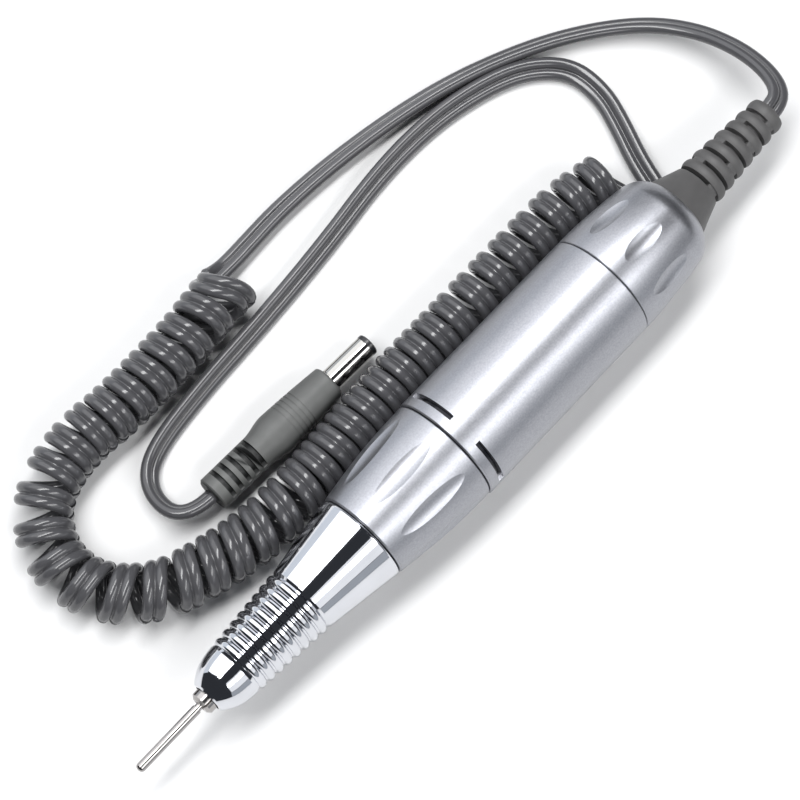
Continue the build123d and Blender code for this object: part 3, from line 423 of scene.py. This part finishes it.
def helix_points(axis):
    """Control points of the curly part, wound left-handed round the coil's axis."""
    far = distances(axis)
    tangents = unit(np.gradient(axis, axis=0))
    first = TURN_TOPS[0][0]
    last = TURN_TOPS[-1][0]
    turns = np.arange(first, last, 1 / TURN_POINTS)
    along = np.interp(turns, *zip(*TURN_TOPS))
    along *= far[-1] / TURN_TOPS[-1][1]
    lean = np.radians(np.interp(turns, *zip(*TURN_LEANS)))
    centre = at(axis, far, along)
    tangent = unit(at(tangents, far, along))
    outward = np.stack([tangent[:, 1], -tangent[:, 0], 0 * turns], axis=-1)
    angle = 2 * math.pi * turns + math.pi / 2       # each whole turn number is at a top
    closing = last - LAST_TURN_SHARE
    radius = HELIX_R * np.interp(turns, [first, closing, last], [1, 1, LAST_TURN_NARROWING])
    sideways = np.cos(angle) * radius
    rise = np.sin(angle) * radius
    shear = -sideways * np.tan(lean)
    points = centre + outward * sideways[:, None] + tangent * shear[:, None]
    points[:, 2] += rise
    return points


# ---------------------------------------------------------------- cord: skin
SHEATH_POINTS = 15           # of the outline round one sheath
HANDPIECE_TILTS = (-35, -50, -25)   # degrees, at the start, the middle and the end of the lead
PLUG_TILTS = (10, 50, 60)
BLEND_SPAN = 0.010           # of cord, over which a lead's twin turns into the curl's


def carried_frames(tangents):
    """Side vectors carried along the line without twisting."""
    side = unit(np.cross(tangents[0], (0, 0, 1.0)))
    sides = [side]
    for tangent in tangents[1:]:
        side = side - tangent * np.dot(side, tangent)
        side = side / np.linalg.norm(side)
        sides.append(side)
    return np.array(sides)


def twin_profile():
    """Outline of two round sheaths joined side by side, as (across, up) pairs."""
    waist = math.acos(CONDUCTOR_OFFSET / CONDUCTOR_R)
    angles = np.linspace(-math.pi + waist, math.pi - waist, SHEATH_POINTS)
    across = CONDUCTOR_OFFSET + CONDUCTOR_R * np.cos(angles)
    right = np.stack([across, CONDUCTOR_R * np.sin(angles)], axis=-1)
    left = -right[1:-1]
    return np.concatenate([right, left])


def skin(name, line, across, profile):
    """Closed tube with this profile along the line; across is the profile's first axis."""
    tangents = unit(np.gradient(line, axis=0))
    across = unit(across - tangents * np.sum(across * tangents, axis=1, keepdims=True))
    up = np.cross(tangents, across)
    rings = line[:, None] + across[:, None] * profile[None, :, :1]
    rings = rings + up[:, None] * profile[None, :, 1:]
    count, around = rings.shape[:2]
    start = np.arange(count - 1)[:, None] * around
    here = np.arange(around)
    after = (here + 1) % around
    corners = [start + here, start + after, start + around + after, start + around + here]
    faces = np.stack(corners, axis=-1).reshape(-1, 4).tolist()
    first_cap = list(range(around))[::-1]
    last_cap = list(range((count - 1) * around, count * around))
    faces += [first_cap, last_cap]
    mesh = bpy.data.meshes.new(name)
    mesh.from_pydata(rings.reshape(-1, 3).tolist(), [], faces)
    mesh.shade_smooth()
    piece = bpy.data.objects.new(name, mesh)
    scene.collection.objects.link(piece)
    return piece


def lead_across(tangents, where, lead_end, plug_start):
    """Direction of the twin's width on the leads: level, then tilted about the cord."""
    length = where[-1]
    stations = [0, lead_end * 0.5, lead_end, plug_start, (plug_start + length) / 2, length]
    tilt = np.radians(np.interp(where, stations, HANDPIECE_TILTS + PLUG_TILTS))
    level = unit(np.cross(tangents, (0, 0, 1.0)))
    upward = np.cross(level, tangents)
    return level * np.cos(tilt)[:, None] + upward * np.sin(tilt)[:, None]


def curl_across(line, tangents, axis):
    """Direction of the twin's width in the curl, where it lies along the coil's axis."""
    axis_tangents = unit(np.gradient(axis, axis=0))
    nearest = np.array([np.argmin(np.sum((axis - p) ** 2, axis=1)) for p in line])
    along = axis_tangents[nearest]
    radial = line - axis[nearest]
    radial -= along * np.sum(radial * along, axis=1, keepdims=True)
    return unit(np.cross(tangents, unit(radial)))


def curl_share(where, lead_end, plug_start):
    """0 on the leads and 1 in the curl, with a soft change between them."""
    stations = [lead_end - BLEND_SPAN / 2, lead_end + BLEND_SPAN,
                plug_start - BLEND_SPAN, plug_start + BLEND_SPAN / 2]
    share = np.interp(where, stations, [0, 1, 1, 0])
    return share * share * (3 - 2 * share)


def angle_in_frame(direction, side, other):
    """Angle of each direction from its side vector towards the other one."""
    return np.arctan2(np.sum(direction * other, axis=1), np.sum(direction * side, axis=1))


def cord_across(line, where, lead_end, plug_start):
    """Direction of the twin's width at each point of the cord."""
    tangents = unit(np.gradient(line, axis=0))
    side = carried_frames(tangents)
    other = np.cross(tangents, side)
    on_lead = lead_across(tangents, where, lead_end, plug_start)
    in_curl = curl_across(line, tangents, smooth_line(COIL))
    lead_angle = angle_in_frame(on_lead, side, other)
    curl_angle = angle_in_frame(in_curl, side, other)
    # The twin looks the same after half a turn, so it takes the shorter way round.
    gap = (curl_angle - lead_angle + math.pi / 2) % math.pi - math.pi / 2
    angle = lead_angle + curl_share(where, lead_end, plug_start) * gap
    return side * np.cos(angle)[:, None] + other * np.sin(angle)[:, None]


def add_cord(materials):
    """The whole flat twin cord as one piece, in the place of the three CAD tubes."""
    helix = helix_points(smooth_line(COIL))
    route = smooth_line(HANDPIECE_LEAD + [tuple(p) for p in helix] + PLUG_LEAD[1:])
    far = distances(route)
    length = far[-1]
    where = np.linspace(0, length, int(length / RING_STEP))
    line = at(route, far, where)
    lead_end = distances(smooth_line(HANDPIECE_LEAD))[-1]
    plug_start = length - distances(smooth_line(PLUG_LEAD))[-1]
    across = cord_across(line, where, lead_end, plug_start)
    cord = skin("curly_cord", line, across, twin_profile())
    cord.data.materials.append(materials["cord_pvc"])
    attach(cord, "handpiece")
    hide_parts("handpiece_lead", "coiled_cord", "plug_lead")


# ---------------------------------------------------------------- scene
materials = build_materials()
# paints shade into the grooves of the plug's boot
paint_boot_groove_shade(materials["plug_rubber"])
dress_frame(materials)
add_cord(materials)
add_floor(floor_paper())
add_lights()
add_camera()
